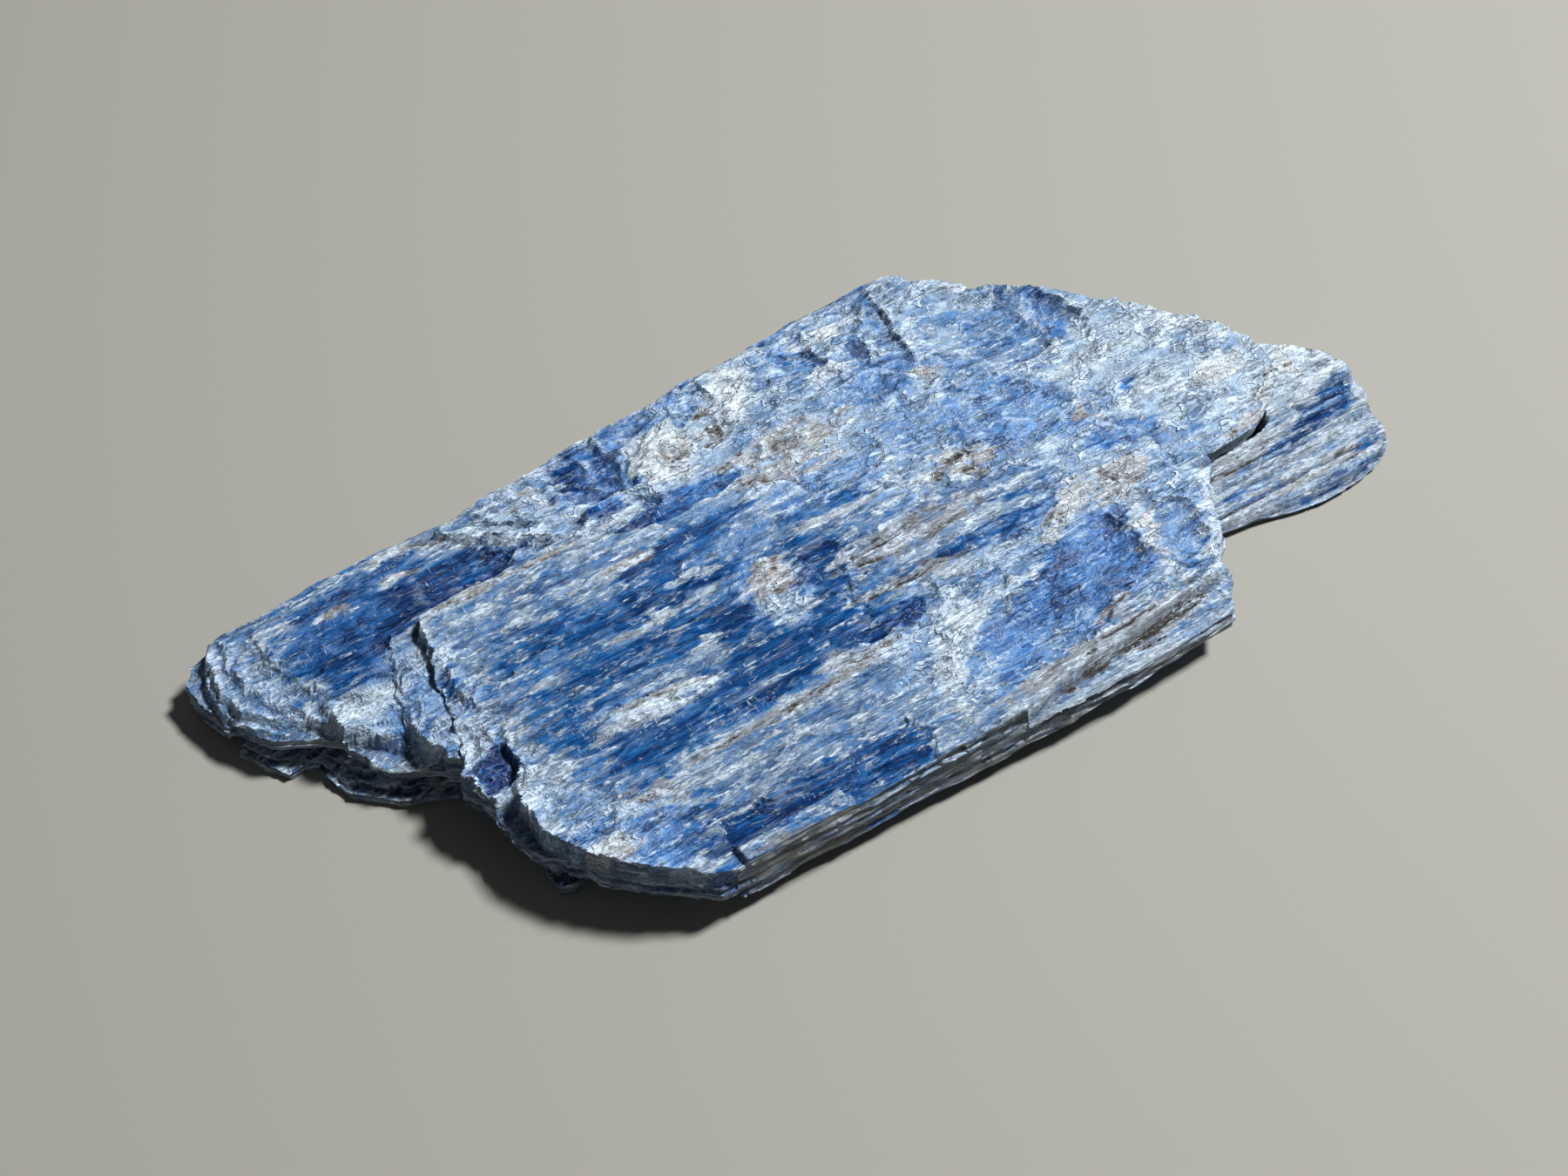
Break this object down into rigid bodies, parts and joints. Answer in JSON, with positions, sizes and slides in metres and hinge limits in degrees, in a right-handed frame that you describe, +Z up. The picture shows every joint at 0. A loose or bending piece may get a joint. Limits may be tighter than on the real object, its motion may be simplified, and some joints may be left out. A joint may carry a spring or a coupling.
{
  "type": "kyanite blade cluster",
  "caption": "Hand specimen of flat blue kyanite blades grown side by side, with striated, stepped cleavage faces, splintered ends and a broken back edge.",
  "frame": {"origin": "on the floor, under the middle of the bounding box", "axes": "+X along the blades towards the thin pale end, +Y across them towards the broken back edge, +Z up"},
  "size_m": [0.0839, 0.0374, 0.0079],
  "materials": {
    "front_blade": "vitreous to pearly, striated",
    "back_blade": "vitreous to pearly, striated",
    "end_blade": "pearly, frayed",
    "lower_blade": "dull, splintered",
    "under_tip": "dull, splintered"
  },
  "bodies": {
    "root": {"front_blade": "front_blade", "back_blade": "back_blade", "end_blade": "end_blade", "lower_blade": "lower_blade", "under_tip": "under_tip"}
  },
  "joints": []
}
